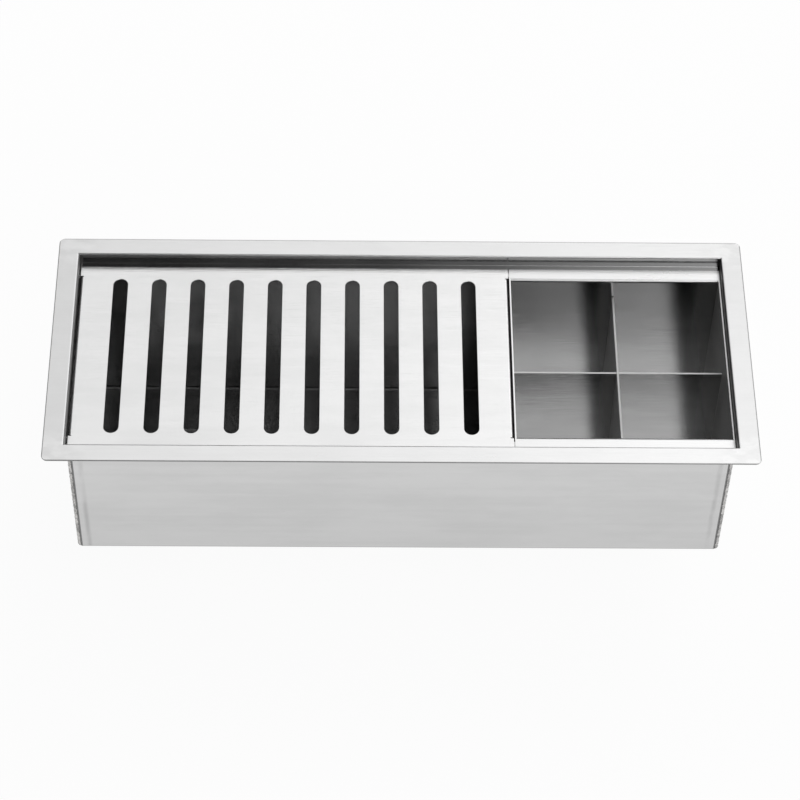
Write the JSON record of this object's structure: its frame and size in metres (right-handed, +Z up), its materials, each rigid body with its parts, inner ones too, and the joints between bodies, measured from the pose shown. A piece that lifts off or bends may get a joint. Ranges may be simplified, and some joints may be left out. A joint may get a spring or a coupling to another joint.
{
  "type": "integrated trough sink",
  "caption": "Drop-in brushed steel trough with a flat rim, a loose slotted cover, a lift-out divided box and a floor outlet with a strainer.",
  "frame": {"origin": "middle of the worktop cut-out, on the worktop's top surface, which is the underside of the rim's rubber strip", "axes": "+X along the length towards the lift-out box, +Y to the back, +Z up"},
  "size_m": [0.6, 0.242, 0.258],
  "materials": {
    "trough_steel": "satin, faintly streaked along the length",
    "cover_steel": "satin brushed",
    "box_steel": "smooth satin, glossier inside",
    "divider_steel": "smooth satin",
    "black_rubber": "matt",
    "fibre": "matt",
    "outlet_steel": "polished",
    "nut_plastic": "satin",
    "tail_plastic": "satin",
    "plated_steel": "zinc plated",
    "pad_plastic": "satin"
  },
  "bodies": {
    "trough": {"front_rail": "trough_steel", "back_rail": "trough_steel", "left_end": "trough_steel", "right_end": "trough_steel", "trough_wrap": "trough_steel", "rim_seal": "black_rubber", "drain_body": "outlet_steel", "drain_seal": "black_rubber", "drain_gasket": "black_rubber", "drain_slip_ring": "fibre", "drain_lock_nut": "nut_plastic", "tailpiece": "tail_plastic", "tailpiece_washer": "black_rubber", "slip_nut": "nut_plastic", "clamp_brackets": "plated_steel", "clamp_screws": "plated_steel", "clamp_pads": "pad_plastic"},
    "cover": {"slotted_cover": "cover_steel"},
    "box": {"box_wrap": "box_steel", "box_left_end": "box_steel", "box_right_end": "box_steel"},
    "long_divider": {"long_divider": "divider_steel"},
    "cross_divider": {"cross_divider": "divider_steel"},
    "strainer": {"strainer_basket": "outlet_steel", "strainer_stopper": "black_rubber", "strainer_knob": "outlet_steel"}
  },
  "joints": [
    {"name": "cover_lift", "type": "slide", "parent": "trough", "child": "cover", "axis": [0, 0, 1], "range_m": [0, 0.12]},
    {"name": "box_lift", "type": "slide", "parent": "trough", "child": "box", "axis": [0, 0, 1], "range_m": [0, 0.2]},
    {"name": "long_divider_lift", "type": "slide", "parent": "box", "child": "long_divider", "axis": [0, 0, 1], "range_m": [0, 0.16]},
    {"name": "cross_divider_lift", "type": "slide", "parent": "long_divider", "child": "cross_divider", "axis": [0, 0, 1], "range_m": [0, 0.16]},
    {"name": "strainer_lift", "type": "slide", "parent": "trough", "child": "strainer", "axis": [0, 0, 1], "range_m": [0, 0.1]}
  ]
}
